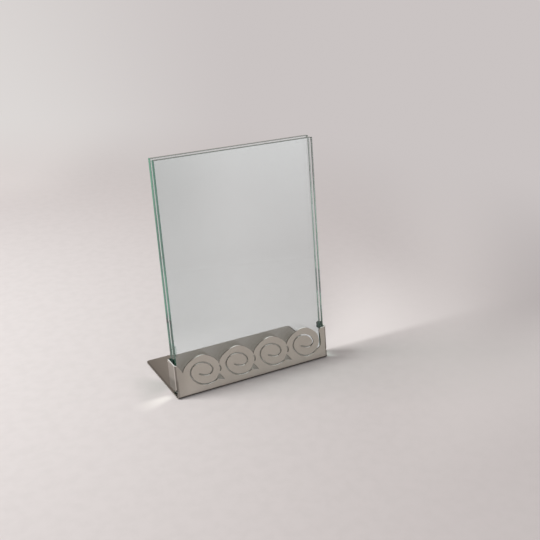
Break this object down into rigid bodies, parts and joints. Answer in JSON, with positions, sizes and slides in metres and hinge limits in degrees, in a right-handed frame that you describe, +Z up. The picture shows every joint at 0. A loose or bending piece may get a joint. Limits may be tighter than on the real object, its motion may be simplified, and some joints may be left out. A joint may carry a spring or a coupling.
{
  "type": "glass photo frame",
  "caption": "Free-standing photo frame: clear glass panes with a picture gap lean back in a bent steel stand whose front flap is fretted with running waves.",
  "frame": {"origin": "middle of the base plate's underside, on the surface that the frame stands on", "axes": "+Z up, +X to the viewer's right along the front flap, +Y to the back; the panes lean back towards +Y"},
  "size_m": [0.134, 0.066, 0.1797],
  "materials": {
    "stand": "satin stainless sheet",
    "pane": "clear float glass, polished edges with a green cast",
    "holder": "matt black moulded rubber"
  },
  "bodies": {
    "stand": {"stand": "stand", "left_pane_holder": "holder", "right_pane_holder": "holder"},
    "front_pane": {"front_pane": "pane"},
    "back_pane": {"back_pane": "pane"}
  },
  "joints": [
    {"name": "front_pane_lift", "type": "slide", "parent": "stand", "child": "front_pane", "axis": [0, 0.1392, 0.9903], "range_m": [0, 0.034]},
    {"name": "back_pane_lift", "type": "slide", "parent": "stand", "child": "back_pane", "axis": [0, 0.1392, 0.9903], "range_m": [0, 0.034]}
  ]
}
